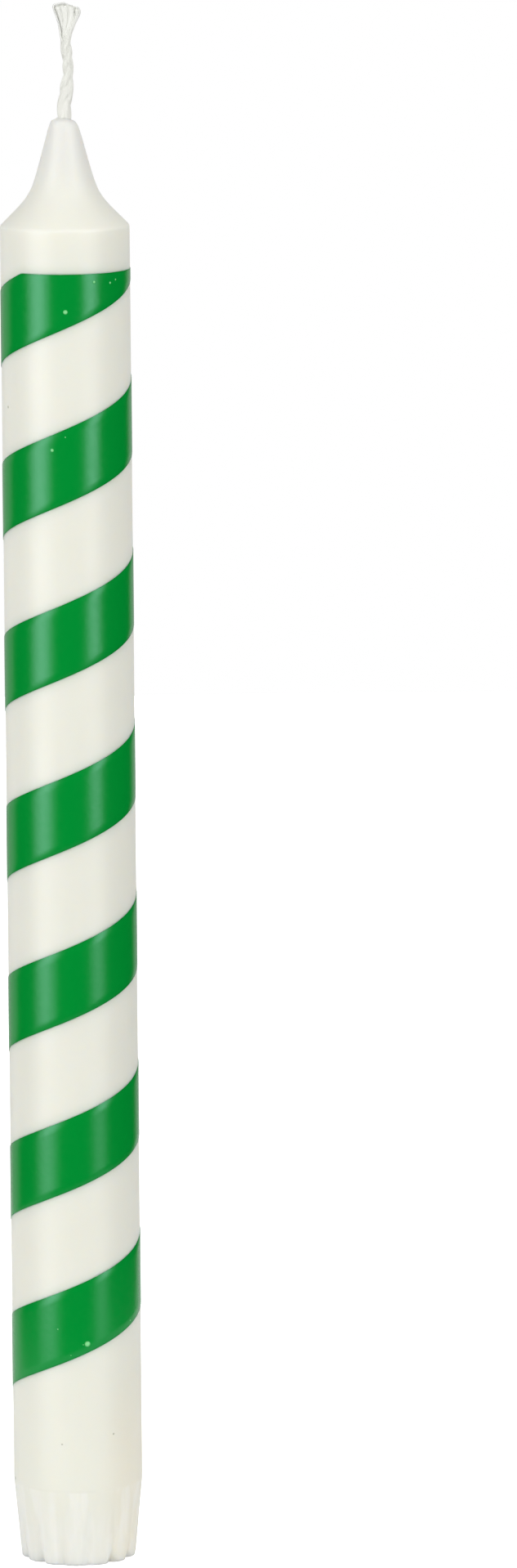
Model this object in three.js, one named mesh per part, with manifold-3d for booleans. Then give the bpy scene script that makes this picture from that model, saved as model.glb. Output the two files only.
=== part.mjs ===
// Striped taper candle: a white wax body with a bell top and a fluted foot, a green wax stripe wound
// round it as a right-hand helix, and a plaited cotton wick of three strands that runs right through.
// Lengths are in millimetres and angles in degrees. +Z is up, the origin is the centre of the foot's
// underside and the front faces -Y. Angles round the candle start at the front and grow to the right.

import * as THREE from 'three';
import { mergeVertices } from 'three/addons/utils/BufferGeometryUtils.js';
import Module from 'manifold-3d';

const wasm = await Module();
wasm.setup();

// Wax body
const waxHeight = 250; // underside of the foot to the rim round the wick
const shoulderRadius = 11.02; // straight side at the shoulder
const footLineRadius = 11.17; // straight side where the foot starts
const bodyFacets = 48; // facets round the wax and the stripe

// Bell-shaped top
const bellHeight = 18.24; // shoulder edge to the rim
const shoulderRounding = 1; // radius of the rounded shoulder edge
const shoulderSteps = 3;
const shoulderSlope = 45; // slope of the bell at the shoulder, from level
const shoulderEase = 0.5; // how long the bell keeps the shoulder's slope, as a share of its rise
const tipSlope = 74.3; // slope of the bell at the tip, from level
const tipEase = 0.78; // how long the bell keeps the tip's slope, as a share of its rise
const tipRadius = 2.55; // bell just under its rounded rim
const rimHeight = 1.44; // height of the rounded rim
const rimFlat = 0.3; // width of the level ring left round the wick
const rimFullness = 0.7; // how square the rounded rim is, up to 1
const bellSteps = 10;
const rimSteps = 3;

// Foot, pressed to a fluted cone that wedges in a candle holder
const footHeight = 13.5; // underside to the foot line
const footRadius = 9.97; // ridges at the underside
const footRounding = 0.5; // rounded bottom edge
const fluteCount = 14;
const firstFlute = 9.7; // middle of the first flute, to the right of the front
const fluteRadius = 1.1; // radius of the rounded groove
const fluteDepth = 1.1; // groove below the ridges, at the underside
const flutePlainBand = 1.7; // plain cone left between the flutes and the foot line
const fluteSides = 12;

// Green stripe
const stripePitch = 29.67; // rise in one turn
const stripeHeight = 12.47; // measured along the candle
const stripeThickness = 0.15;
const stripeGap = 0.05; // between the wax and the stripe
const stripeTopMargin = 7.36; // shoulder edge down to the stripe's level top end
const stripeFootMargin = 15.5; // foot line up to the stripe's level bottom end
const stripeFrontRise = 8.51; // bottom end up to the lowest lower edge at the front
const stripeBluntEnd = 0.3; // height of the stripe where its pointed ends stop

// Wick
const wickExposed = 19.6; // rim to the top of the longest strand
const wickRecess = 0.4; // underside of the foot up to the wick's lower end
const wickClearance = 0.1; // between the plait and its hole in the wax
const strandRadius = 0.34;
const strandGap = 0.04; // between strands where they cross
const strandSides = 5;
const plaitPitch = 11.8; // one whole wave of a strand
const plaitFlatness = 1.6; // width of the plait's wave over its depth
const plaitSteps = 9; // sections in one wave
const neckPhase = 10; // place in its wave of the first strand at the neck
const wickTwist = 180; // turn of the exposed plait between the rim and the cut end

// Frayed fan at the wick's cut end
const fanHeight = 6.3; // neck to the top
const fanSteps = 5;
const fanStrandRadius = 0.7;
const fanGap = 0.1; // between strands at the cut end

// Each strand's start in the plait, its side of the fan and how far short of the top it is cut
const strands = [
  { name: 'wick_strand_a', turn: 0, side: 0, cutShort: 0 },
  { name: 'wick_strand_b', turn: 120, side: 1, cutShort: 0.2 },
  { name: 'wick_strand_c', turn: 240, side: -1, cutShort: 0.9 },
];

// Bend of the exposed wick: sideways, back and height over the rim
const wickBend = [
  [0, 0, -1],
  [0.15, 0.05, 2],
  [0.86, 0.25, 7.9],
  [0.47, 0.4, 13.3],
  [0.85, 0.3, 17],
  [0.6, 0.2, 20],
];
const bendHalvings = 24; // how often the search for a height on the bend is halved

// Sizes that follow
const shoulderHeight = waxHeight - bellHeight;
const stripeTop = shoulderHeight - stripeTopMargin;
const stripeBottom = footHeight + stripeFootMargin;
const facetShare = Math.cos((2 * Math.PI) / plaitSteps); // how near straight steps bring the strands
const plaitDepth = (2 * strandRadius + strandGap) / (Math.sqrt(3) * facetShare);
const plaitWidth = plaitDepth * plaitFlatness;
const holeRadius = plaitWidth + strandRadius + wickClearance;
const wickTop = waxHeight + wickExposed;
const neckHeight = wickTop - fanHeight;
const fanSpacing = 2 * fanStrandRadius + fanGap;

const radians = THREE.MathUtils.degToRad;
const mix = THREE.MathUtils.lerp;
const smooth = THREE.MathUtils.smoothstep;

// Outline of the wax, as radius and height

function foot() {
  const slope = Math.atan2(footLineRadius - footRadius, footHeight);
  return [
    new THREE.Vector2(footRadius - footRounding, 0),
    new THREE.Vector2(footRadius - footRounding * (1 - Math.SQRT1_2), footRounding * (1 - Math.SQRT1_2)),
    new THREE.Vector2(footRadius + footRounding * Math.tan(slope), footRounding),
    new THREE.Vector2(footLineRadius, footHeight),
  ];
}

function shoulderEdge() {
  const points = [];
  const centreRadius = shoulderRadius - shoulderRounding;
  const centreHeight = shoulderHeight - shoulderRounding * Math.tan(radians(shoulderSlope) / 2);
  for (let i = 0; i <= shoulderSteps; i++) {
    const angle = radians(90 - shoulderSlope) * (i / shoulderSteps);
    points.push(new THREE.Vector2(
      centreRadius + shoulderRounding * Math.cos(angle),
      centreHeight + shoulderRounding * Math.sin(angle),
    ));
  }
  return points;
}

function bell(start) {
  const end = new THREE.Vector2(tipRadius, waxHeight - rimHeight);
  const rise = end.y - start.y;
  const shoulderPull = new THREE.Vector2(
    -Math.cos(radians(shoulderSlope)), Math.sin(radians(shoulderSlope)),
  ).multiplyScalar(rise * shoulderEase);
  const tipPull = new THREE.Vector2(
    Math.cos(radians(tipSlope)), -Math.sin(radians(tipSlope)),
  ).multiplyScalar(rise * tipEase);
  const curve = new THREE.CubicBezierCurve(
    start, start.clone().add(shoulderPull), end.clone().add(tipPull), end,
  );
  return curve.getPoints(bellSteps).slice(1);
}

function rim(start) {
  const flatRadius = holeRadius + rimFlat;
  const corner = new THREE.Vector2(mix(flatRadius, start.x, rimFullness), waxHeight);
  const curve = new THREE.QuadraticBezierCurve(start, corner, new THREE.Vector2(flatRadius, waxHeight));
  return curve.getPoints(rimSteps).slice(1);
}

function waxOutline() {
  const edge = shoulderEdge();
  const side = bell(edge[edge.length - 1]);
  return [
    new THREE.Vector2(holeRadius, 0),
    ...foot(),
    ...edge,
    ...side,
    ...rim(side[side.length - 1]),
    new THREE.Vector2(holeRadius, waxHeight),
    new THREE.Vector2(holeRadius, 0),
  ];
}

// Radius of the straight side's corners at a height
function sideRadius(height) {
  const top = shoulderEdge()[0];
  return mix(footLineRadius, top.x, (height - footHeight) / (top.y - footHeight));
}

// A point at an angle round the candle
function around(angle, radius, height) {
  return new THREE.Vector3(radius * Math.sin(angle), -radius * Math.cos(angle), height);
}

// Solid with a boolean cut

function toSolid(geometry) {
  const bare = geometry.clone();
  bare.deleteAttribute('normal');
  bare.deleteAttribute('uv');
  const merged = mergeVertices(bare);
  return new wasm.Manifold(new wasm.Mesh({
    numProp: 3,
    vertProperties: new Float32Array(merged.attributes.position.array),
    triVerts: new Uint32Array(merged.index.array),
  }));
}

function toGeometry(solid) {
  const mesh = solid.getMesh();
  const geometry = new THREE.BufferGeometry();
  geometry.setAttribute('position', new THREE.BufferAttribute(new Float32Array(mesh.vertProperties), 3));
  geometry.setIndex(new THREE.BufferAttribute(new Uint32Array(mesh.triVerts), 1));
  geometry.computeVertexNormals();
  return geometry;
}

// Groove that leans out until it leaves the foot's cone
function flute(angle) {
  const fluteTop = footHeight - flutePlainBand;
  const low = around(angle, footRadius - fluteDepth + fluteRadius, 0);
  const high = around(angle, mix(footRadius, footLineRadius, fluteTop / footHeight) + fluteRadius, fluteTop);
  const along = high.clone().sub(low);
  const overrun = 2 * fluteRadius;
  const length = along.length() + 2 * overrun;
  const geometry = new THREE.CylinderGeometry(fluteRadius, fluteRadius, length, fluteSides);
  geometry.applyQuaternion(new THREE.Quaternion().setFromUnitVectors(
    new THREE.Vector3(0, 1, 0), along.normalize(),
  ));
  const middle = low.add(high).multiplyScalar(0.5);
  return geometry.translate(middle.x, middle.y, middle.z);
}

function waxBody() {
  const turned = new THREE.LatheGeometry(waxOutline(), bodyFacets).rotateX(Math.PI / 2);
  let solid = toSolid(turned);
  for (let i = 0; i < fluteCount; i++) {
    const angle = radians(firstFlute + (360 / fluteCount) * i);
    solid = solid.subtract(toSolid(flute(angle)));
  }
  return toGeometry(solid);
}

// Closed skin over a row of outlines, each counterclockwise when seen from the row's far end
function skin(rings) {
  const size = rings[0].length;
  const last = (rings.length - 1) * size;
  const indices = [];
  for (let i = 0; i < rings.length - 1; i++) {
    for (let j = 0; j < size; j++) {
      const a = i * size + j;
      const b = i * size + ((j + 1) % size);
      indices.push(a, b, b + size, a, b + size, a + size);
    }
  }
  for (let j = 1; j < size - 1; j++) {
    indices.push(0, j + 1, j);
    indices.push(last, last + j, last + j + 1);
  }
  const geometry = new THREE.BufferGeometry().setFromPoints(rings.flat());
  geometry.setIndex(indices);
  geometry.computeVertexNormals();
  return geometry;
}

// The stripe keeps to the wax's facets, so its inner faces are parallel to them
function greenStripe() {
  const step = 360 / bodyFacets;
  const frontEdge = stripeBottom + stripeFrontRise;
  const firstAngle = ((stripeBottom - stripeHeight - frontEdge) / stripePitch) * 360;
  const lastAngle = ((stripeTop - frontEdge) / stripePitch) * 360;
  const rings = [];
  for (let i = Math.ceil(firstAngle / step); i <= Math.floor(lastAngle / step); i++) {
    const lowerEdge = frontEdge + (stripePitch * i) / bodyFacets;
    const low = Math.max(lowerEdge, stripeBottom);
    const high = Math.min(lowerEdge + stripeHeight, stripeTop);
    if (high - low < stripeBluntEnd) continue;
    const angle = radians(step * i);
    const inner = stripeGap;
    const outer = stripeGap + stripeThickness;
    rings.push([
      around(angle, sideRadius(low) + inner, low),
      around(angle, sideRadius(high) + inner, high),
      around(angle, sideRadius(high) + outer, high),
      around(angle, sideRadius(low) + outer, low),
    ]);
  }
  return skin(rings);
}

const bendCurve = new THREE.CatmullRomCurve3(wickBend.map((point) => new THREE.Vector3(...point)));

// Middle of the bent wick at a height, found along the curve by halving
function wickAxis(height) {
  const rise = height - waxHeight;
  if (rise <= wickBend[0][2]) return new THREE.Vector3(0, 0, height);
  let low = 0;
  let high = 1;
  for (let i = 0; i < bendHalvings; i++) {
    const middle = (low + high) / 2;
    if (bendCurve.getPoint(middle).z < rise) low = middle;
    else high = middle;
  }
  const point = bendCurve.getPoint(low);
  return new THREE.Vector3(point.x, point.y, height);
}

// Level outline of one strand: a flat three-strand plait that opens into a fan over the neck
function strandRing(strand, height) {
  const plaited = Math.min(height, neckHeight);
  const wave = radians(neckPhase + strand.turn) + ((plaited - neckHeight) / plaitPitch) * 2 * Math.PI;
  const opened = smooth(height, neckHeight, wickTop);
  const twist = radians(wickTwist) * smooth(height, waxHeight, wickTop);
  const centre = new THREE.Vector3(
    mix(plaitWidth * Math.sin(wave), fanSpacing * strand.side, opened),
    mix(plaitDepth * Math.sin(2 * wave), 0, opened),
    0,
  ).applyAxisAngle(new THREE.Vector3(0, 0, 1), twist).add(wickAxis(height));
  const radius = mix(strandRadius, fanStrandRadius, opened * opened);
  const ring = [];
  for (let i = 0; i < strandSides; i++) {
    const angle = (2 * Math.PI * i) / strandSides;
    ring.push(new THREE.Vector3(radius * Math.cos(angle), radius * Math.sin(angle), 0).add(centre));
  }
  return ring;
}

function wickStrand(strand) {
  const rings = [];
  const plaitLength = neckHeight - wickRecess;
  const levels = Math.ceil((plaitLength / plaitPitch) * plaitSteps);
  for (let i = 0; i < levels; i++) {
    rings.push(strandRing(strand, wickRecess + (plaitLength * i) / levels));
  }
  const end = wickTop - strand.cutShort;
  for (let i = 0; i <= fanSteps; i++) {
    rings.push(strandRing(strand, mix(neckHeight, end, i / fanSteps)));
  }
  return skin(rings);
}

// Materials

function whiteWax() {
  return new THREE.MeshStandardMaterial({ color: '#ecece0', roughness: 0.42, metalness: 0 });
}

function greenLacquer() {
  return new THREE.MeshStandardMaterial({ color: '#008430', roughness: 0.18, metalness: 0 });
}

function waxedCotton() {
  return new THREE.MeshStandardMaterial({ color: '#ebece4', roughness: 0.85, metalness: 0 });
}

function piece(name, geometry, material) {
  const mesh = new THREE.Mesh(geometry, material);
  mesh.name = name;
  return mesh;
}

const candle = new THREE.Group();
candle.add(piece('wax_body', waxBody(), whiteWax()));
candle.add(piece('green_stripe', greenStripe(), greenLacquer()));
for (const strand of strands) {
  candle.add(piece(strand.name, wickStrand(strand), waxedCotton()));
}

export default candle;
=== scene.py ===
# Striped taper candle: white wax, one green spiral stripe and a plaited cotton wick.
# Metres, +Z up. The foot stands on the origin, the front faces -Y, and angles round the candle
# start at the front and grow to the right. Sizes in the dictionaries are in millimetres.

import math
import random

import bmesh
import bpy
from mathutils import Matrix, Vector


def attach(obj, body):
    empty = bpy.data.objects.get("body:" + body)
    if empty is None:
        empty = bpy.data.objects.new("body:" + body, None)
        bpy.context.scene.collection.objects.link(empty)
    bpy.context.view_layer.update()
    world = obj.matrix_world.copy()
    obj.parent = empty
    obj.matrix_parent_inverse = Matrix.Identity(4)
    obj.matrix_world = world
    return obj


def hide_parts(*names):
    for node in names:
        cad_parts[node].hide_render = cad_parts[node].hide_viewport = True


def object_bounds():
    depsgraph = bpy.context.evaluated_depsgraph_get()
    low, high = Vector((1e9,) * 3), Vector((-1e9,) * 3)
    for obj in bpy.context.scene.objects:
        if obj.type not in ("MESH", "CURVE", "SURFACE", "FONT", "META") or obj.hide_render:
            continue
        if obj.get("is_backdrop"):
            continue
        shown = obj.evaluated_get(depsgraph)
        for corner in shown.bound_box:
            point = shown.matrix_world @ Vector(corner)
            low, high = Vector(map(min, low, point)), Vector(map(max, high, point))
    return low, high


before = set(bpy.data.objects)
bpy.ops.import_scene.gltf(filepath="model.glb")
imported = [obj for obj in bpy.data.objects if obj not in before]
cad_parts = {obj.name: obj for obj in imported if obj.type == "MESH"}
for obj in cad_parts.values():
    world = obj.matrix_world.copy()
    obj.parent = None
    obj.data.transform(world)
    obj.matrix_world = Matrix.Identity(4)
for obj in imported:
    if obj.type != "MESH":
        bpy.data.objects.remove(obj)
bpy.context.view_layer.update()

mm = 0.001
near = 0.01  # how far a vertex may be from the height or radius that it is picked by
print("frame loaded")


def mix(a, b, share):
    return a + (b - a) * share


def smooth(value, low, high):
    share = min(1, max(0, (value - low) / (high - low)))
    return share * share * (3 - 2 * share)


def around(angle, radius, height):  # a point at an angle round the candle, in metres
    return Vector((radius * math.sin(angle), -radius * math.cos(angle), height)) * mm


# Camera and light

camera = {
    "distance": 1480.2,  # in front of the candle's axis
    "height": 373.8,
    "pitchDown": 9.156,
    "yawRight": 1.249,
    "roll": 0.42,
    "lens": 200.4,
    "sensorWidth": 36,
    "farClip": 20000,
}


def addCamera(size):
    pitch, yaw, roll = (math.radians(size[k]) for k in ("pitchDown", "yawRight", "roll"))
    right = Vector((math.cos(yaw), -math.sin(yaw), 0))
    level = Vector((math.sin(yaw), math.cos(yaw), 0))
    up = Vector((0, 0, 1))
    forward = math.cos(pitch) * level - math.sin(pitch) * up
    lift = math.cos(pitch) * up + math.sin(pitch) * level
    across = math.cos(roll) * right - math.sin(roll) * lift
    tall = math.sin(roll) * right + math.cos(roll) * lift
    bpy.ops.object.camera_add()
    made = bpy.context.object
    made.name = "photoCamera"
    turn = Matrix((across, tall, -forward)).transposed().to_4x4()
    made.matrix_world = Matrix.Translation(Vector((0, -size["distance"], size["height"])) * mm) @ turn
    made.data.lens = size["lens"]
    made.data.sensor_width = size["sensorWidth"]
    made.data.clip_end = size["farClip"] * mm
    bpy.context.scene.camera = made


# Shader maths

class Wire:  # a shader socket that Python maths works on
    def __init__(self, tree, socket=None):
        self.tree = tree
        self.socket = socket

    def node(self, kind, settings, sockets, out=0):  # sockets get wires or plain values
        made = self.tree.nodes.new(kind)
        for key, value in settings.items():
            setattr(made, key, value)
        for key, value in sockets.items():
            if isinstance(value, Wire):
                self.tree.links.new(value.socket, made.inputs[key])
            else:
                made.inputs[key].default_value = value
        return Wire(self.tree, made.outputs[out]) if len(made.outputs) else made

    def maths(self, operation, *values):
        return self.node("ShaderNodeMath", {"operation": operation}, dict(enumerate(values)))

    def __add__(self, other):
        return self.maths("ADD", self, other)

    def __sub__(self, other):
        return self.maths("SUBTRACT", self, other)

    def __rsub__(self, other):
        return self.maths("SUBTRACT", other, self)

    def __mul__(self, other):
        return self.maths("MULTIPLY", self, other)

    def __truediv__(self, other):
        return self.maths("DIVIDE", self, other)

    __radd__ = __add__
    __rmul__ = __mul__

    def ramp(self, low, high, first=0, last=1):  # smooth step between two values
        return self.node("ShaderNodeMapRange", {"interpolation_type": "SMOOTHSTEP"}, {
            "Value": self, "From Min": low, "From Max": high, "To Min": first, "To Max": last})

    def blend(self, first, second):  # this wire mixes two colours
        return self.node("ShaderNodeMix", {"data_type": "RGBA"}, {0: self, 6: first, 7: second}, 2)


def newMaterial(name):
    made = bpy.data.materials.new(name)
    made.use_nodes = True
    made.node_tree.nodes.clear()
    return made, Wire(made.node_tree)


def place(wire):  # object coordinates in millimetres, and the angle round the candle in turns
    spot = wire.node("ShaderNodeTexCoord", {}, {}, "Object")
    spot = wire.node("ShaderNodeVectorMath", {"operation": "SCALE"}, {0: spot, "Scale": 1 / mm})
    x, y, z = (spot.node("ShaderNodeSeparateXYZ", {}, {0: spot}, k) for k in "XYZ")
    turn = x.maths("ARCTAN2", x, y * -1) / (2 * math.pi)
    return spot, z, turn


def noiseAt(spot, scale, detail=2, stretch=(1, 1, 1)):
    where = spot.node("ShaderNodeVectorMath", {"operation": "MULTIPLY"}, {0: spot, 1: stretch})
    return where.node("ShaderNodeTexNoise", {}, {"Vector": where, "Scale": scale, "Detail": detail})


def finishMaterial(wire, shader):
    wire.node("ShaderNodeOutputMaterial", {}, {"Surface": shader})


# Lamps, floor and world

softboxes = [  # a radiance of 1 is the white of the background, and lengths are in millimetres
    {"name": "keySoftbox", "azimuth": -50, "distance": 1200, "low": -450, "high": 850, "width": 1250,
     "tilt": 0, "radiance": 5.1, "soft": True, "fadeFrom": -430, "fadeTo": 40, "lowest": 0.0},
    {"name": "fillSoftbox", "azimuth": 45, "distance": 1200, "low": -300, "high": 850, "width": 900,
     "tilt": 0, "radiance": 4.7, "soft": True, "fadeFrom": -150, "fadeTo": 20, "lowest": 0.3},
    {"name": "topSoftbox", "azimuth": 62, "distance": 1000, "low": 500, "high": 1500, "width": 1300,
     "tilt": 42, "radiance": 1.5, "soft": False},
    {"name": "leftTopSoftbox", "azimuth": -70, "distance": 1000, "low": 700, "high": 1500, "width": 900,
     "tilt": 55, "radiance": 1.0, "soft": False},
    {"name": "backSoftbox", "azimuth": 180, "distance": 1200, "low": -250, "high": 850, "width": 1000,
     "tilt": 0, "radiance": 1.8, "soft": False, "diffuseOnly": True},
]


def addSoftbox(box):
    size = Vector((box["width"], box["high"] - box["low"])) * mm
    bpy.ops.object.light_add(type="AREA")
    lamp = bpy.context.object
    lamp.name = box["name"]
    azimuth, tilt = math.radians(box["azimuth"]), math.radians(box["tilt"])
    lamp.location = around(azimuth, box["distance"], (box["low"] + box["high"]) / 2)
    lamp.rotation_euler = (math.pi / 2 - tilt, 0, azimuth)
    lamp.data.shape = "RECTANGLE"
    lamp.data.size, lamp.data.size_y = size
    lamp.data.energy = box["radiance"] * math.pi * size.x * size.y
    lamp.visible_camera = False
    lamp.visible_glossy = not box.get("diffuseOnly")
    if box["soft"]:
        lamp.data.use_nodes = True
        lamp.data.node_tree.nodes.clear()
        wire = Wire(lamp.data.node_tree)
        spot = wire.node("ShaderNodeNewGeometry", {}, {}, "Parametric")
        across = spot.node("ShaderNodeSeparateXYZ", {}, {0: spot}, "X")
        down = spot.node("ShaderNodeSeparateXYZ", {}, {0: spot}, "Y")
        middle = 1 - across.maths("ABSOLUTE", across * 2 - 1)
        length = box["high"] - box["low"]
        low, high = ((box[k] - box["low"]) / length for k in ("fadeFrom", "fadeTo"))
        glow = middle.ramp(0, 1) * down.ramp(low, high, box["lowest"], 1)
        shader = wire.node("ShaderNodeEmission", {}, {"Strength": glow})
        wire.node("ShaderNodeOutputLight", {}, {"Surface": shader})


# Sizes of the wax

wax = {
    "shoulderHeight": 231.76,
    "shoulderRadius": 11.02,
    "shoulderRounding": 1,
    "footLineRadius": 11.17,
    "footHeight": 13.5,
    "footRadius": 9.97,
    "footRounding": 0.2,
    "footRings": (0.8, 1.4, 2, 2.6, 3.6, 5, 6.4, 7.8, 9, 10, 11, 12, 12.6, 13.1),  # heights
    "footLineHeight": 0.05,  # of the small step between the foot and the side
    "lowRings": (14, 15),
    "sideRings": (25, 60, 95, 130, 165, 200, 222, 229, 230.6),
    "shoulderSlope": 45,  # of the bell, in degrees from level
    "shoulderPull": 0.5,  # how long the bell keeps that slope, as a share of its rise
    "tipSlope": 74.3,
    "tipPull": 0.78,
    "bellRings": 20,
    "tipRadius": 2.55,
    "tipHeight": 248.56,
    "rim": ((2.36, 249.05), (2.14, 249.43), (1.9, 249.67), (1.6, 249.78)),  # radius and height
    "fillet": ((1.38, 249.83), (1.27, 249.93), (1.18, 250.1), (0.6, 250.15), (0.2, 250.15)),
    "boreRadius": 0.9,
    "boreTop": 238,  # over it the wax has closed on the wick
    "rimTilt": -4.2,  # degrees, lower to the right
    "tiltFrom": 247.6,  # heights between which the tilt grows
    "tiltTo": 249.6,
    "tiltAxis": -1.5,  # to the left of the middle
    "columns": 168,
    "sharpAngle": 50,  # over it an edge is shaded as sharp
}

ribs = {  # the foot's pressed ribs, round in plan and parted by narrow creases
    "count": 14,
    "firstCrease": 9.7,  # to the right of the front
    "top": 13.3,
    "depth": 0.5,  # of a crease, but for its lower end
    "endDepths": (  # of each crease at the underside
        0.5, 1.35, 1.4, 0.9, 1.1, 0.7, 1.2, 0.8, 1.3, 0.6, 1.0, 0.9, 1.3, 0.6),
    "endHeight": 2.6,  # over it all creases are alike
    "roundness": 3.2,  # the higher, the narrower the creases
}

stripe = {
    "pitch": 29.67,
    "height": 12.64,  # along the candle
    "top": 224.4,
    "bottom": 29.0,
    "frontEdge": 37.23,  # lowest lower edge at the front
    "turns": 9,  # before its ends are cut level
    "cuts": 7,  # across its height
    "gap": 0.01,  # to the wax
    "weld": 0.002,
    "thickness": 0.07,
    "bevel": 0.025,
    "bevelAngle": 60,
    "sharpAngle": 40,
}


def footRadiusAt(height):
    return mix(wax["footRadius"], wax["footLineRadius"], height / wax["footHeight"])


def sideRadiusAt(height):
    share = (height - wax["footHeight"]) / (wax["shoulderHeight"] - wax["footHeight"])
    return mix(wax["footLineRadius"], wax["shoulderRadius"], share)


def curvePoint(a, b, c, d, share):  # a point of a cubic curve
    rest = 1 - share
    return a * rest ** 3 + b * 3 * rest ** 2 * share + c * 3 * rest * share ** 2 + d * share ** 3


def footOutline():
    rounding = wax["footRounding"]
    points = []
    for degrees in (0, 25, 50, 70, 90):
        turn = math.radians(degrees)
        height = rounding * (1 - math.cos(turn))
        points.append((footRadiusAt(height) - rounding * (1 - math.sin(turn)), height))
    for height in wax["footRings"]:
        points.append((footRadiusAt(height), height))
    points.append((wax["footLineRadius"], wax["footHeight"] + wax["footLineHeight"]))
    for height in wax["lowRings"]:
        points.append((sideRadiusAt(height), height))
    return points


def bellOutline():
    rounding = wax["shoulderRounding"]
    slope = math.radians(wax["shoulderSlope"])
    base = wax["shoulderHeight"] - rounding * math.tan(slope / 2)
    points = [(sideRadiusAt(h), h) for h in wax["sideRings"]]
    for share in (0, 0.34, 0.67, 1):
        turn = slope * share
        radius = wax["shoulderRadius"] - rounding * (1 - math.cos(turn))
        points.append((radius, base + rounding * math.sin(turn)))
    start, end = Vector(points[-1]), Vector((wax["tipRadius"], wax["tipHeight"]))
    rise = end.y - start.y
    tip = math.radians(wax["tipSlope"])
    startPull = start + Vector((-math.cos(slope), math.sin(slope))) * rise * wax["shoulderPull"]
    endPull = end + Vector((math.cos(tip), -math.sin(tip))) * rise * wax["tipPull"]
    for step in range(1, wax["bellRings"] + 1):
        points.append(tuple(curvePoint(start, startPull, endPull, end, step / wax["bellRings"])))
    return points


def editPiece(piece):
    bpy.ops.object.select_all(action="DESELECT")
    piece.select_set(True)
    bpy.context.view_layer.objects.active = piece
    bpy.ops.object.mode_set(mode="EDIT")


def pick(piece, test):  # selects vertices, in edit mode, by their place in millimetres and their number
    mesh = bmesh.from_edit_mesh(piece.data)
    for corner in mesh.verts:
        corner.select = test(corner.co / mm, corner.index)
    mesh.select_flush_mode()
    bmesh.update_edit_mesh(piece.data)


def raiseRings(outline, last):  # extrudes the selected ring up, or down, an outline of radius and height
    for radius, height in outline:
        rise = (height - last[1]) * mm
        bpy.ops.mesh.extrude_region_move(TRANSFORM_OT_translate={"value": (0, 0, rise)})
        share = radius / last[0]
        bpy.ops.transform.resize(value=(share, share, 1), center_override=(0, 0, height * mm))
        last = (radius, height)
    return last


def applyModifier(piece, kind, **settings):
    modifier = piece.modifiers.new(kind.lower(), kind)
    for key, value in settings.items():
        setattr(modifier, key, value)
    bpy.ops.object.select_all(action="DESELECT")
    piece.select_set(True)
    bpy.context.view_layer.objects.active = piece
    bpy.ops.object.modifier_apply(modifier=modifier.name)


def creaseDepth(height, crease):
    fading = ribs["depth"] * (1 - height / ribs["top"])
    return fading + (ribs["endDepths"][crease] - ribs["depth"]) * (1 - smooth(height, 0, ribs["endHeight"]))


def pressRibs(piece):
    spacing = 360 / ribs["count"]
    heights = [h for r, h in footOutline() if h < ribs["top"]]
    columns = {}
    for corner in bmesh.from_edit_mesh(piece.data).verts:
        spot = corner.co / mm
        angle = math.degrees(math.atan2(spot.x, -spot.y)) - ribs["firstCrease"]
        crease = round(angle / spacing)
        off = abs(angle - crease * spacing)  # degrees from the nearest crease
        height = min(heights, key=lambda h: abs(h - spot.z))
        if spot.xy.length > wax["boreRadius"] + 1 and abs(height - spot.z) < near:
            crease = crease % ribs["count"] if height < ribs["endHeight"] else 0
            columns.setdefault((height, crease, round(off, 1)), set()).add(corner.index)
    for (height, crease, off), members in columns.items():
        pull = (1 - off / (spacing / 2)) ** ribs["roundness"]
        size = 1 - creaseDepth(height, crease) * pull / footRadiusAt(height)
        if size > 0.9998:  # too shallow to show
            continue
        pick(piece, lambda spot, number: number in members)
        bpy.ops.transform.resize(value=(size, size, 1), center_override=(0, 0, height * mm))


def tiltRim(piece, outline):
    for radius, height in outline:
        share = smooth(height, wax["tiltFrom"], wax["tiltTo"])
        if share == 0:
            continue
        pick(piece, lambda spot, number: abs(spot.z - height) < near
             and abs(spot.xy.length - radius) < 2 * near)
        bpy.ops.transform.rotate(
            value=math.radians(wax["rimTilt"]) * share, orient_axis="Y",
            center_override=(wax["tiltAxis"] * mm, 0, height * mm))


def addWax():
    outline = footOutline()
    bore = (wax["boreRadius"], 0)
    bpy.ops.object.select_all(action="DESELECT")
    bpy.ops.mesh.primitive_circle_add(vertices=wax["columns"], radius=outline[0][0] * mm)
    piece = bpy.context.object
    piece.name = "waxBody"
    editPiece(piece)
    bpy.ops.mesh.select_all(action="SELECT")
    support = (outline[0][0] - wax["footRounding"], 0)  # keeps the bottom edge crisp
    raiseRings([support, bore, (bore[0], 1), (bore[0], wax["boreTop"])], outline[0])
    bpy.ops.mesh.merge(type="CENTER")
    pick(piece, lambda spot, number: abs(spot.z) < near and spot.xy.length > outline[0][0] - near)
    last = raiseRings(outline[1:], outline[0])
    pressRibs(piece)
    pick(piece, lambda spot, number: abs(spot.z - last[1]) < near and spot.xy.length > bore[0] + 1)
    tip = list(wax["rim"] + wax["fillet"])
    raiseRings(bellOutline() + tip, last)
    bpy.ops.mesh.merge(type="CENTER")
    tiltRim(piece, bellOutline()[-3:] + tip)
    bpy.ops.mesh.select_all(action="SELECT")
    bpy.ops.mesh.normals_make_consistent(inside=False)
    bpy.ops.object.mode_set(mode="OBJECT")
    applyModifier(piece, "SUBSURF", levels=1, render_levels=1)
    bpy.ops.object.shade_smooth_by_angle(angle=math.radians(wax["sharpAngle"]))
    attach(piece, "root")
    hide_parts("wax_body")
    return piece


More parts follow.
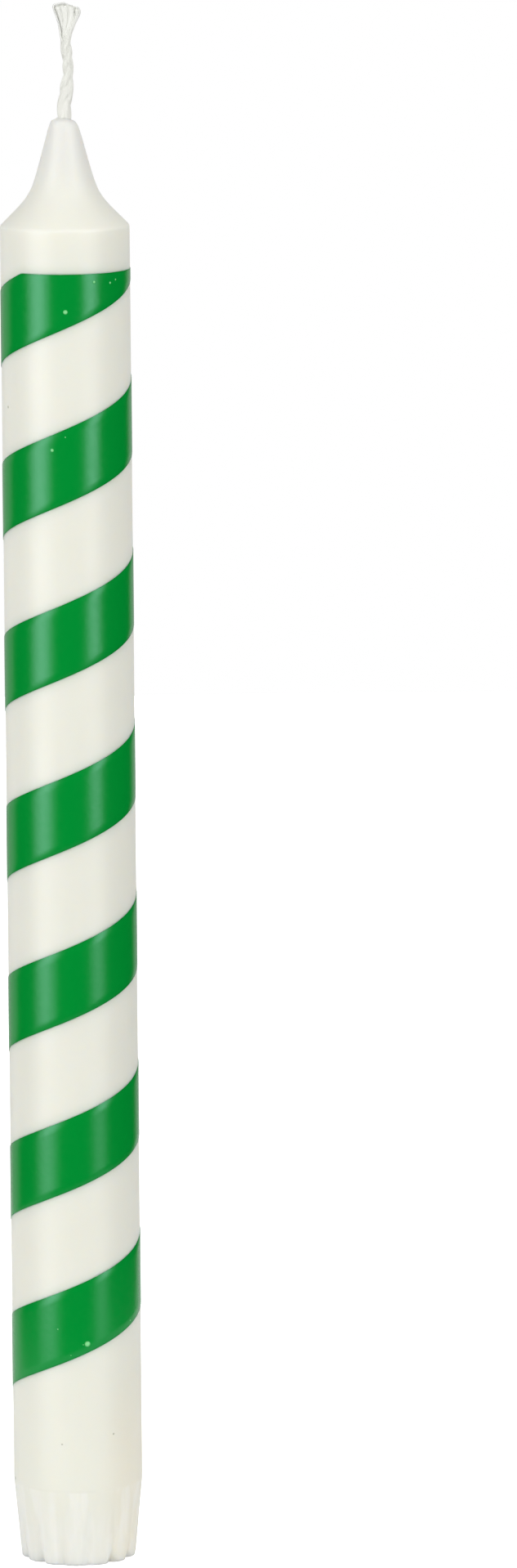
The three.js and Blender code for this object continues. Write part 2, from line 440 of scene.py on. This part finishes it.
def addStripe(body):  # wound from a flat strip at the front, two turns under the lowest that shows
    middle = stripe["frontEdge"] + stripe["height"] / 2 - 2 * stripe["pitch"]
    half = stripe["height"] / 2
    bpy.ops.object.select_all(action="DESELECT")
    bpy.ops.mesh.primitive_plane_add(
        size=stripe["height"] * mm, rotation=(math.pi / 2, 0, 0),
        location=(half * mm, -wax["footLineRadius"] * mm, middle * mm))
    piece = bpy.context.object
    piece.name = "greenStripe"
    bpy.ops.object.transform_apply(location=True, rotation=True, scale=True)
    editPiece(piece)
    pick(piece, lambda spot, number: spot.x > half)
    bpy.ops.mesh.delete(type="VERT")
    bpy.ops.mesh.select_all(action="SELECT")
    bpy.ops.mesh.subdivide(number_cuts=stripe["cuts"])
    bpy.ops.object.mode_set(mode="OBJECT")
    applyModifier(piece, "SCREW", axis="Z", steps=wax["columns"], render_steps=wax["columns"],
                  iterations=stripe["turns"], screw_offset=stripe["pitch"] * mm, use_merge_vertices=False)
    editPiece(piece)
    for height, above in ((stripe["top"], True), (stripe["bottom"], False)):
        bpy.ops.mesh.select_all(action="SELECT")
        bpy.ops.mesh.bisect(plane_co=(0, 0, height * mm), plane_no=(0, 0, 1),
                            clear_outer=above, clear_inner=not above)
    bpy.ops.mesh.select_all(action="SELECT")
    bpy.ops.mesh.remove_doubles(threshold=stripe["weld"] * mm)
    bpy.ops.object.mode_set(mode="OBJECT")
    applyModifier(piece, "SHRINKWRAP", target=body, wrap_method="NEAREST_SURFACEPOINT",
                  wrap_mode="ABOVE_SURFACE", offset=stripe["gap"] * mm)
    applyModifier(piece, "SOLIDIFY", thickness=stripe["thickness"] * mm, offset=1)
    applyModifier(piece, "BEVEL", width=stripe["bevel"] * mm, segments=2, limit_method="ANGLE",
                  angle_limit=math.radians(stripe["bevelAngle"]))
    bpy.ops.object.shade_smooth_by_angle(angle=math.radians(stripe["sharpAngle"]))
    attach(piece, "root")
    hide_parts("green_stripe")
    return piece


# Wick: three plaited strands of cotton threads that open into a frayed fan

wick = {
    "bottom": 0.4,
    "hiddenTo": 248,
    "rim": 250,
    "neck": 263.3,
    "top": 269.6,
    "pitch": 11.8,  # one whole wave of a strand
    "neckPhase": 10,
    "width": 0.42,
    "lowWidth": 0.54,  # nearer to the rim
    "lowFrom": 253.5,
    "lowTo": 259.4,
    "depth": 0.2,
    "twist": 180,  # turn of the exposed plait
    "twistFrom": 252,
    "twistTo": 267.5,
    "threadRings": ((8, 0.3), (20, 0.6)),  # count and radius
    "threadRadius": 0.085,
    "threadPitch": 30,
    "endTaper": 1.5,  # length over which a thread gets thinner
    "endShare": 0.6,
    "hiddenStep": 2.36,  # between a thread's points in the wax
    "shownStep": 0.24,
    "sharpAngle": 60,
}

fan = {
    "spacing": 1.3,  # between the strands at the cut end
    "spread": 1.4,
    "fray": 0.15,
    "frayPower": 1.5,
    "deepFray": 0.05,
    "crimp": 0.05,
    "crimpPitch": 2.6,
    "curl": 0.2,  # how far the right edge bends back over the top
    "curlFrom": 267.5,
    "curlStart": 0.6,
    "curlEnd": 2.3,
    "splitAt": 1.25,  # a narrow gap in the right part
    "split": 0.13,
    "splitReach": 1,
    "splitFrom": 266.3,
    "splitTo": 267.4,
    "crown": 269.25,  # highest point of the cut
    "crownAt": 0.2,
    "droop": 0.12,  # how much lower the cut is a millimetre from there, and four times that at two
    "uneven": 0.22,
    "looseRadius": 0.15,
    "looseSteps": 5,
    "fibres": 170,  # thin ones that fill each strand's part
    "fibreRadius": 0.05,
    "fibreSteps": 7,
    "fibreStart": 1,  # how far from the neck they start
    "fibreReach": 0.62,  # from a strand's middle
    "fibreFray": 1.4,
    "fibreUneven": 1.2,
}

wickBend = [  # rise over the rim, and how far the wick is then to the right and to the back
    (-1, 0, 0), (2, 0.15, 0.05), (7.9, 0.86, 0.25), (13.3, 0.47, 0.4), (17, 0.85, 0.3), (20, 0.6, 0.2),
]

strands = [
    {"name": "A", "turn": 0, "side": 0, "seed": 4},
    {"name": "B", "turn": 120, "side": 1, "seed": 7},
    {"name": "C", "turn": 240, "side": -1, "seed": 11},
]

looseThreads = {  # points of x, y and height, in the strand that each belongs to
    "B": [[  # leaves the fan's left edge and bends over its top
        (0.5, 0.2, 261.6), (0.1, 0, 262.6), (-0.3, -0.15, 263.6), (-0.52, -0.2, 264.9), (-0.72, -0.2, 266.1),
        (-1.06, -0.2, 267.2), (-1.38, -0.2, 268.1), (-1.55, -0.2, 268.8), (-1.4, -0.15, 269.14),
        (-0.85, -0.1, 269.3), (-0.05, -0.1, 269.44), (0.5, -0.1, 269.38), (0.95, -0.1, 269.05),
        (1.25, -0.05, 268.6), (1.3, 0, 268.2),
    ]],
    "C": [[  # curls round the fan's upper right corner
        (0.9, 0.2, 262.4), (1.2, 0.1, 263.2), (1.35, 0, 264.2), (1.75, -0.1, 265.4), (2.25, -0.15, 266.4),
        (2.72, -0.15, 267.3), (2.9, -0.15, 267.9), (2.84, -0.15, 268.35), (2.6, -0.15, 268.6),
        (2.35, -0.1, 268.65), (2.1, 0, 268.5),
    ], [
        (2.35, 0.1, 267.6), (2.7, 0.1, 268.1), (3.0, 0.12, 268.4), (3.2, 0.15, 268.45),
    ]],
}

coat = {  # wax that the plait has soaked up
    "from": 249.3,
    "short": 0.9,  # how far it ends under the longest threads, as a share of their unevenness
    "step": 0.3,
    "count": 5,  # rods of wax in each strand
    "ring": 0.38,
    "radius": 0.3,
    "fanRadius": 0.37,
    "lowRadius": 0.42,  # over the rim, where the wax hides the threads
    "lowFrom": 252.2,
    "lowTo": 256.4,
    "voxel": 0.07,
    "smoothing": 16,
}


def wickAxis(height):  # middle of the bent wick: x and y at a height
    rise = height - wick["rim"]
    if rise <= wickBend[0][0]:
        return Vector((0, 0))
    last = len(wickBend) - 1
    i = 0
    while i < last - 1 and rise > wickBend[i + 1][0]:
        i += 1
    start, end = wickBend[i], wickBend[i + 1]
    before, after = wickBend[max(0, i - 1)], wickBend[min(last, i + 2)]
    length = end[0] - start[0]
    share = (rise - start[0]) / length
    square, cube = share ** 2, share ** 3
    spot = []
    for k in (1, 2):
        startSlope = (end[k] - before[k]) / (end[0] - before[0]) * length
        endSlope = (after[k] - start[k]) / (after[0] - start[0]) * length
        spot.append((2 * cube - 3 * square + 1) * start[k] + (cube - 2 * square + share) * startSlope
                    + (3 * square - 2 * cube) * end[k] + (cube - square) * endSlope)
    return Vector(spot)


def threadSpot(height, strand, thread):  # where a thread is at a height, in metres
    held = min(height, wick["neck"])
    wave = math.radians(wick["neckPhase"] + strand["turn"])
    wave += (held - wick["neck"]) / wick["pitch"] * 2 * math.pi
    opened = smooth(height, wick["neck"], wick["top"])
    width = mix(wick["lowWidth"], wick["width"], smooth(height, wick["lowFrom"], wick["lowTo"]))
    middle = Vector((mix(width * math.sin(wave), fan["spacing"] * strand["side"], opened),
                     mix(wick["depth"] * math.sin(2 * wave), 0, opened)))
    turn = thread["angle"] + 2 * math.pi * held / wick["threadPitch"]
    offset = Vector((math.cos(turn), math.sin(turn))) * thread["radius"]
    offset.x *= mix(1, fan["spread"], opened)
    crimp = fan["crimp"] * opened * math.sin(thread["wave"] + 2 * math.pi * height / fan["crimpPitch"])
    offset += Vector((thread["across"] * opened ** fan["frayPower"] + crimp, thread["deep"] * opened))
    twist = math.radians(wick["twist"]) * smooth(height, wick["twistFrom"], wick["twistTo"])
    spot = (middle + offset) @ Matrix.Rotation(-twist, 2)
    if spot.x > 0:
        side = -smooth(spot.x, fan["splitAt"] - fan["splitReach"], fan["splitAt"])
        if spot.x > fan["splitAt"]:
            side = 1
        spot.x += fan["split"] * smooth(height, fan["splitFrom"], fan["splitTo"]) * side
        curled = smooth(spot.x, fan["curlStart"], fan["curlEnd"])
        spot.x -= fan["curl"] * smooth(height, fan["curlFrom"], wick["top"]) * curled
    spot += wickAxis(height)
    return Vector((spot.x, spot.y, height)) * mm


def threadEnd(strand, thread):  # height of a thread's end in the domed cut
    across = threadSpot(fan["crown"], strand, thread).x / mm - fan["crownAt"]
    return fan["crown"] - fan["droop"] * across ** 2 - fan["uneven"] * thread["short"]


def threadHeights(end):
    heights = []
    height = wick["bottom"]
    while height < wick["hiddenTo"]:
        heights.append(height)
        height += wick["hiddenStep"]
    while height < end - wick["shownStep"] / 2:
        heights.append(height)
        height += wick["shownStep"]
    return heights + [end]


def newCurve(name, radius, resolution):
    bpy.ops.object.select_all(action="DESELECT")
    bpy.ops.curve.primitive_bezier_curve_add()
    piece = bpy.context.object
    piece.name = name
    curve = piece.data
    curve.splines.clear()
    curve.dimensions = "3D"
    curve.bevel_depth = radius * mm
    curve.bevel_resolution = resolution
    curve.use_fill_caps = True
    return piece


def addSpline(piece, points, sizes):
    spline = piece.data.splines.new("POLY")
    spline.points.add(len(points) - 1)
    for point, spot, size in zip(spline.points, points, sizes):
        point.co = (*spot, 1)
        point.radius = size


def toMesh(piece):
    bpy.ops.object.select_all(action="DESELECT")
    piece.select_set(True)
    bpy.context.view_layer.objects.active = piece
    bpy.ops.object.convert(target="MESH")
    return bpy.context.object


def throughPoints(points, steps):  # a smooth way through points given in millimetres
    spots = [Vector(p) for p in points]
    way = []
    for i in range(1, len(spots) - 2):
        a, b, c, d = spots[i - 1:i + 3]
        for k in range(steps):
            t = k / steps
            way.append(0.5 * (2 * b + (c - a) * t + (2 * a - 5 * b + 4 * c - d) * t ** 2
                              + (3 * b - a - 3 * c + d) * t ** 3) * mm)
    return way


def addThreads(piece, strand, chance):
    for count, radius in wick["threadRings"]:
        for i in range(count):
            thread = {
                "angle": 2 * math.pi * (i + 0.5) / count,
                "radius": radius,
                "across": chance.gauss(0, fan["fray"]),
                "deep": chance.gauss(0, fan["deepFray"]),
                "wave": chance.uniform(0, 2 * math.pi),
                "short": chance.random(),
            }
            end = threadEnd(strand, thread)
            heights = threadHeights(end)
            addSpline(piece, [threadSpot(h, strand, thread) for h in heights],
                      [mix(1, wick["endShare"], smooth(h, end - wick["endTaper"], end)) for h in heights])


def addFibres(piece, strand, chance):
    steps = fan["fibreSteps"]
    for i in range(fan["fibres"]):
        thread = {
            "angle": chance.uniform(0, 2 * math.pi),
            "radius": fan["fibreReach"] * math.sqrt(chance.random()),
            "across": chance.gauss(0, fan["fibreFray"] * fan["fray"]),
            "deep": chance.gauss(0, fan["deepFray"]),
            "wave": chance.uniform(0, 2 * math.pi),
            "short": chance.random() * fan["fibreUneven"],
        }
        low = wick["neck"] + chance.uniform(-fan["fibreStart"], fan["fibreStart"])
        end = threadEnd(strand, thread)
        heights = [mix(low, end, k / steps) for k in range(steps + 1)]
        addSpline(piece, [threadSpot(h, strand, thread) for h in heights], [1] * len(heights))


def addLooseThreads(name):
    piece = newCurve("looseThreads", fan["looseRadius"], 1)
    for points in looseThreads[name]:
        way = throughPoints(points, fan["looseSteps"])
        addSpline(piece, way, [1] * len(way))
    return toMesh(piece)


def addStrand(strand, cotton, looseCottonPaintedShade):
    chance = random.Random(strand["seed"])
    fibres = newCurve("fibres", fan["fibreRadius"], 0)
    addFibres(fibres, strand, chance)
    parts = [toMesh(fibres)]
    if strand["name"] in looseThreads:
        parts.append(addLooseThreads(strand["name"]))
        parts[-1].data.materials.append(looseCottonPaintedShade)
    piece = newCurve("wickStrand" + strand["name"], wick["threadRadius"], 1)
    addThreads(piece, strand, chance)
    piece = toMesh(piece)
    for part in (piece, parts[0]):
        part.data.materials.append(cotton)
    for part in parts:
        part.select_set(True)
    bpy.ops.object.join()
    bpy.ops.object.shade_smooth_by_angle(angle=math.radians(wick["sharpAngle"]))
    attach(piece, "root")
    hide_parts("wick_strand_" + strand["name"].lower())
    return piece


def coatSize(height):
    size = mix(coat["lowRadius"], coat["radius"], smooth(height, coat["lowFrom"], coat["lowTo"]))
    return mix(size, coat["fanRadius"], smooth(height, wick["neck"], fan["splitFrom"]))


def addCoat():
    piece = newCurve("wickWax", 1, 2)
    count = round((fan["crown"] - coat["from"]) / coat["step"])
    for strand in strands:
        for i in range(coat["count"]):
            rod = {"angle": 2 * math.pi * i / coat["count"], "radius": coat["ring"],
                   "across": 0, "deep": 0, "wave": 0, "short": coat["short"]}
            end = threadEnd(strand, rod)
            heights = [mix(coat["from"], end, k / count) for k in range(count + 1)]
            addSpline(piece, [threadSpot(h, strand, rod) for h in heights], [coatSize(h) for h in heights])
    piece = toMesh(piece)
    applyModifier(piece, "REMESH", mode="VOXEL", voxel_size=coat["voxel"] * mm)
    applyModifier(piece, "SMOOTH", factor=0.5, iterations=coat["smoothing"])
    bpy.ops.object.shade_smooth()
    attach(piece, "root")
    return piece


# Materials

finish = {
    "white": (0.825, 0.825, 0.745, 1),
    "lowWhite": (0.795, 0.795, 0.715, 1),  # the side's lower end
    "footWhite": (0.79, 0.79, 0.73, 1),  # darker towards the lower end of the foot
    "paintedGreenGlow": (0.76, 0.80, 0.68, 1),  # painted green glow on the white wax close to the stripe, for light that the wax scatters from the stripe
    "paleLine": (0.60, 0.76, 0.60, 1),
    "speck": (0.45, 0.45, 0.36, 1),
    "rubbed": (0.87, 0.87, 0.84, 1),  # streaks that the mould has left on the foot
    "footLine": (0.74, 0.73, 0.65, 1),
    "paintedTipShade": (0.775, 0.775, 0.74, 1),  # the bell's upper end, painted darker as shade against the light that scatters through the thin tip
    "footRight": (0.80, 0.775, 0.67, 1),  # warmer, to the right of the front
    "soaked": (0.79, 0.79, 0.735, 1),  # wax at the wick's lower end
    "fanWax": (0.80, 0.805, 0.76, 1),
    "green": (0.0, 0.262, 0.031, 1),
    "greenEdge": (0.0, 0.20, 0.022, 1),
    # blister: lighter green of the bubbles in the lacquer, which also serves as a painted highlight on each
    # bump
    "blister": (0.24, 0.72, 0.28, 1),
    "greenGloss": (0.6, 1, 0.97, 1),
    "cotton": (0.85, 0.855, 0.80, 1),
    "cottonShade": (0.82, 0.825, 0.77, 1),
    # painted shade: the loose threads are darkened to stand for the shade along thin threads
    "looseCottonPaintedShade": (0.70, 0.705, 0.70, 1),
    "fray": (0.85, 0.855, 0.81, 1),  # dry fibres of the cut end
}

edgeTones = {  # widths in millimetres, from the stripe's edge
    # cast is how far the painted green glow reaches from the stripe's edge, and castFill its share
    "cast": 2.2,
    "castFill": 0.7,
    "line": 0.2,
    "inner": 0.35,
}

specks = [  # dark ones in the white wax: angle, height and radius
    (-64.4, 201.3, 0.3), (33.6, 23.25, 0.25), (-14.2, 21.85, 0.2), (-77.5, 13.97, 0.4),
]

blisters = [  # small bumps in the stripe's coat: angle, height and radius
    (-0.3, 218.05, 0.46), (43.1, 222.67, 0.26), (50.0, 223.11, 0.22), (26.0, 223.0, 0.3),
    (-13.2, 194.54, 0.34), (-1.5, 196.78, 0.16), (9.4, 39.59, 0.58), (5.7, 39.48, 0.14),
    (-5.2, 37.63, 0.14), (-16.8, 42.17, 0.16), (55.7, 42.62, 0.18), (-128, 150.0, 0.35),
    (151, 96.0, 0.3), (-170, 205.5, 0.26), (118, 61.0, 0.3),
]


def edgeDistance(z, turn):  # from the stripe's edge: over 0 on the white, under 0 on the green
    middle = stripe["frontEdge"] + stripe["height"] / 2
    wound = (z - middle) / stripe["pitch"] - turn + 0.5
    part = wound.maths("FRACT", wound) - 0.5
    away = part.maths("ABSOLUTE", part) * stripe["pitch"] - stripe["height"] / 2
    away = away.maths("MAXIMUM", away, z - stripe["top"])
    return away.maths("MAXIMUM", away, stripe["bottom"] - z)


def marks(spot, places):  # 1 at each of the places, with a soft edge
    shown = None
    for angle, height, size in places:
        centre = around(math.radians(angle), sideRadiusAt(height), height) / mm
        far = spot.node("ShaderNodeVectorMath", {"operation": "DISTANCE"}, {0: spot, 1: centre}, "Value")
        mark = far.ramp(size * 0.4, size, 1, 0)
        shown = shown.maths("MAXIMUM", shown, mark) if shown else mark
    return shown


waxLook = {
    "cloud": 0.12,  # scales of the noises
    "grain": 2.5,
    "streaks": (0.45, 0.45, 0.07),
    "streakShare": 0.4,
    "speckShare": 0.9,
    "roughness": (0.36, 0.44),
    "scatter": 0.85,
    "scatterColour": (1, 0.9, 0.75),
    "scatterDepth": 3,
    "bump": 0.4,
}


def waxMaterial():
    made, wire = newMaterial("whiteWax")
    spot, z, turn = place(wire)
    cloud = noiseAt(spot, waxLook["cloud"])
    grain = noiseAt(spot, waxLook["grain"], 3)
    edge = edgeDistance(z, turn)
    tone = z.ramp(25, 75).blend(finish["lowWhite"], finish["white"])
    tone = z.ramp(3, 13).blend(finish["footWhite"], tone)
    tone = (turn.ramp(0.03, 0.15) * turn.ramp(0.25, 0.4, 1, 0) * z.ramp(20, 40, 1, 0)).blend(
        tone, finish["footRight"])
    # painted shade at the bell's upper end, offsetting the light that scatters through the thin tip
    tone = z.ramp(234, 246).blend(tone, finish["paintedTipShade"])
    # painted green glow: light scattered through the wax from the stripe, put into the white's colour near
    # its edges
    cast = edge.ramp(0, edgeTones["cast"], edgeTones["castFill"], 0) * cloud.ramp(0.3, 0.6, 0.6, 1)
    tone = cast.blend(tone, finish["paintedGreenGlow"])
    tone = edge.ramp(edgeTones["line"] * 0.5, edgeTones["line"], 1, 0).blend(tone, finish["paleLine"])
    spots = marks(spot, specks)
    tone = (spots * waxLook["speckShare"]).blend(tone, finish["speck"])
    top = wax["footHeight"]
    streaks = noiseAt(spot, 1, 2, waxLook["streaks"]).ramp(0.4, 0.62) * z.ramp(top - 0.5, top + 0.4, 1, 0)
    tone = (streaks * waxLook["streakShare"]).blend(tone, finish["rubbed"])
    line = z.ramp(top - 0.5, top - 0.15) * z.ramp(top, top + 0.3, 1, 0) * cloud.ramp(0.4, 0.6, 0, 0.3)
    tone = line.blend(tone, finish["footLine"])
    height = grain * 0.02 + cloud * 0.3 + streaks * 0.12 - spots * 0.1 - line * 0.05
    bump = wire.node("ShaderNodeBump", {}, {"Height": height, "Strength": waxLook["bump"], "Distance": mm})
    shader = wire.node("ShaderNodeBsdfPrincipled", {}, {
        "Base Color": tone, "Roughness": cloud.ramp(0.3, 0.7, *waxLook["roughness"]),
        "Subsurface Weight": waxLook["scatter"], "Subsurface Radius": waxLook["scatterColour"],
        "Subsurface Scale": waxLook["scatterDepth"] * mm, "Normal": bump})
    finishMaterial(wire, shader)
    return made


coatLook = {
    "roughness": (0.42, 0.52),
    "bump": 0.3,
    "bumpDepth": 0.05,
}


def coatMaterial():
    made, wire = newMaterial("wickWax")
    spot, z, turn = place(wire)
    grain = noiseAt(spot, waxLook["grain"], 3)
    bump = wire.node("ShaderNodeBump", {}, {
        "Height": grain, "Strength": coatLook["bump"], "Distance": coatLook["bumpDepth"] * mm})
    tone = z.ramp(254, 262).blend(finish["soaked"], finish["fanWax"])
    shader = wire.node("ShaderNodeBsdfPrincipled", {}, {
        "Base Color": tone, "Roughness": grain.ramp(0.3, 0.7, *coatLook["roughness"]), "Normal": bump})
    finishMaterial(wire, shader)
    return made


greenLook = {
    "peel": 1.2,  # scale of the orange-peel surface
    "roughness": (0.19, 0.24),
    "blisterRise": 8,  # against the orange peel's
    "bump": 0.25,
    "bumpDepth": 0.05,
}


def greenMaterial():
    made, wire = newMaterial("greenLacquer")
    spot, z, turn = place(wire)
    peel = noiseAt(spot, greenLook["peel"])
    blister = marks(spot, blisters)
    tone = edgeDistance(z, turn).ramp(-edgeTones["inner"], 0).blend(finish["green"], finish["greenEdge"])
    # the blisters are painted a lighter green that is partly a painted highlight on each bump
    tone = blister.blend(tone, finish["blister"])
    bump = wire.node("ShaderNodeBump", {}, {
        "Height": peel + blister * greenLook["blisterRise"], "Strength": greenLook["bump"],
        "Distance": greenLook["bumpDepth"] * mm})
    shader = wire.node("ShaderNodeBsdfPrincipled", {}, {
        "Base Color": tone, "Specular Tint": finish["greenGloss"],
        "Roughness": peel.ramp(0.3, 0.7, *greenLook["roughness"]), "Normal": bump})
    finishMaterial(wire, shader)
    return made


cottonLook = {
    "fibre": (14, 14, 1.2),  # scale of the noise, long up the wick
    "roughness": (0.45, 0.75),  # waxed below, dry above
    "sheen": 0.25,
    "sheenRoughness": 0.5,
    "bump": 0.5,
    "bumpDepth": 0.04,
}


def cottonMaterial(name, end):  # end is the colour of the cut end's fibres, and for the loose threads a darker painted shade
    made, wire = newMaterial(name)
    spot, z, turn = place(wire)
    fibre = noiseAt(spot, 1, 3, cottonLook["fibre"])
    bump = wire.node("ShaderNodeBump", {}, {
        "Height": fibre, "Strength": cottonLook["bump"], "Distance": cottonLook["bumpDepth"] * mm})
    tone = fibre.ramp(0.25, 0.75).blend(finish["cottonShade"], z.ramp(262, 266).blend(
        finish["cotton"], end))
    shader = wire.node("ShaderNodeBsdfPrincipled", {}, {
        "Base Color": tone, "Roughness": z.ramp(251, 254, *cottonLook["roughness"]),
        "Sheen Weight": cottonLook["sheen"], "Sheen Roughness": cottonLook["sheenRoughness"],
        "Normal": bump})
    finishMaterial(wire, shader)
    return made


table = {  # the pale floor, as far as it reaches
    "left": -160,
    "right": 160,
    "front": -120,
    "back": 1000,
    "paper": (0.8, 0.8, 0.8, 1),
    "glow": 0.72,  # what is added for the camera, so that the paper clips to white
}

studio = {
    "backdrop": (-0.182, 0.983, 0),  # the way to the middle of the white backdrop
    "backdropEdge": (0.5, 0.72),
    "backdropLevel": 0.5,
    "ceiling": (0, 0, 1),
    "ceilingEdge": (0.2, 0.5),
    "ceilingLevel": 0.42,
    "ground": (0, 0, -1),
    "groundEdge": (0.38, 0.55),
    "groundLevel": 0.65,
}


def shownRays(wire):  # rays that see the background as the camera does
    seen = [wire.node("ShaderNodeLightPath", {}, {}, k) for k in ("Is Camera Ray", "Is Transmission Ray")]
    return wire.maths("MAXIMUM", *seen)


def floorMaterial():
    made, wire = newMaterial("paleFloor")
    paper = wire.node("ShaderNodeBsdfDiffuse", {}, {"Color": table["paper"]})
    glow = wire.node("ShaderNodeEmission", {}, {
        "Color": (1, 1, 1, 1), "Strength": shownRays(wire) * table["glow"]})
    finishMaterial(wire, wire.node("ShaderNodeAddShader", {}, {0: paper, 1: glow}))
    return made


def addFloor():
    bpy.ops.object.select_all(action="DESELECT")
    middle = Vector((table["left"] + table["right"], table["front"] + table["back"], 0)) * mm / 2
    bpy.ops.mesh.primitive_plane_add(size=1, location=middle)
    floor = bpy.context.object
    floor.name = "floor"
    floor.scale = Vector((table["right"] - table["left"], table["back"] - table["front"], 1)) * mm
    bpy.ops.object.transform_apply(location=True, scale=True)
    floor.data.materials.append(floorMaterial())
    floor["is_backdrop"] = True


def setWorld():
    world = bpy.data.worlds.new("studio")
    bpy.context.scene.world = world
    world.use_nodes = True
    world.node_tree.nodes.clear()
    wire = Wire(world.node_tree)
    way = wire.node("ShaderNodeTexCoord", {}, {}, "Generated")
    strength = shownRays(wire)
    for part in ("backdrop", "ceiling", "ground"):
        toward = way.node(
            "ShaderNodeVectorMath", {"operation": "DOT_PRODUCT"}, {0: way, 1: studio[part]}, "Value")
        level = toward.ramp(*studio[part + "Edge"], 0, studio[part + "Level"])
        strength = wire.maths("MAXIMUM", strength, level)
    sky = wire.node("ShaderNodeBackground", {}, {"Color": (1, 1, 1, 1), "Strength": strength})
    wire.node("ShaderNodeOutputWorld", {}, {"Surface": sky})


bpy.context.scene.view_settings.view_transform = "Standard"
addCamera(camera)
for box in softboxes:
    addSoftbox(box)
addFloor()
setWorld()
print("camera, lamps and floor done")

body = addWax()
body.data.materials.append(waxMaterial())
print("wax done", len(body.data.vertices))
ribbon = addStripe(body)
ribbon.data.materials.append(greenMaterial())
print("stripe done", len(ribbon.data.vertices))

cotton = cottonMaterial("waxedCotton", finish["fray"])
# the loose threads' material, whose cut-end colour is a painted shade
looseCottonPaintedShade = cottonMaterial("looseCottonPaintedShade", finish["looseCottonPaintedShade"])
wickWax = addCoat()
wickWax.data.materials.append(coatMaterial())
print("wick's wax done", len(wickWax.data.vertices))
for strand in strands:
    piece = addStrand(strand, cotton, looseCottonPaintedShade)
    print("strand", strand["name"], "done", len(piece.data.vertices))

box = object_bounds()
